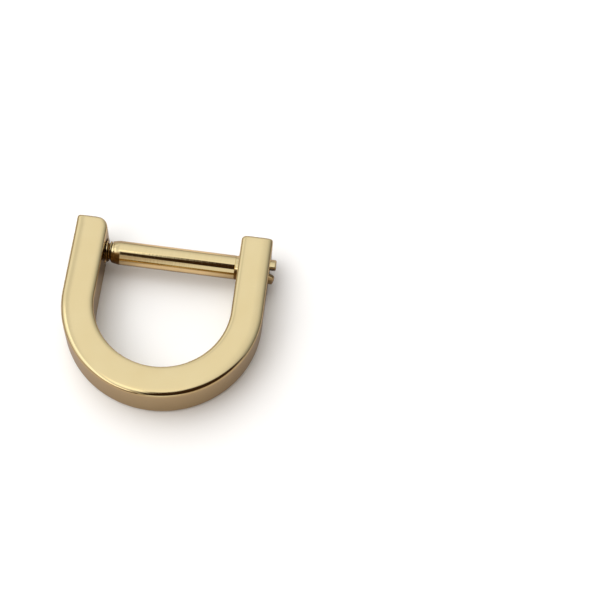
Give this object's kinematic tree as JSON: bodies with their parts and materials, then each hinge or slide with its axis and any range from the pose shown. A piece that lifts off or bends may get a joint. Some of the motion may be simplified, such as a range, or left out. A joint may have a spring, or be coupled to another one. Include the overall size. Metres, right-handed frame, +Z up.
{
  "type": "screw bar d ring",
  "caption": "Horseshoe D ring for a bag strap: a thick flat-sided U with rounded edges, closed across its ears by a slotted screw bar that draws out to let a strap on.",
  "frame": {"origin": "on the screw bar's axis, midway between the two ears and midway through the ring's thickness", "axes": "+X along the screw bar towards its slotted end, +Y from the crown towards the ears' free ends, +Z up through the ring's thickness as it lies on its side"},
  "size_m": [0.0303, 0.0273, 0.0066],
  "materials": {
    "ring_plating": "pale gold plating over cast zinc alloy, buffed to a mirror with soft edges",
    "screw_plating": "pale gold plating over a turned steel screw, polished, darker in the thread"
  },
  "bodies": {
    "ring": {"ring_body": "ring_plating"},
    "screw": {"screw_bar": "screw_plating"}
  },
  "joints": [
    {"name": "screw_travel", "type": "slide", "parent": "ring", "child": "screw", "axis": [1, 0, 0], "range_m": [-0.001, 0.0283]}
  ]
}
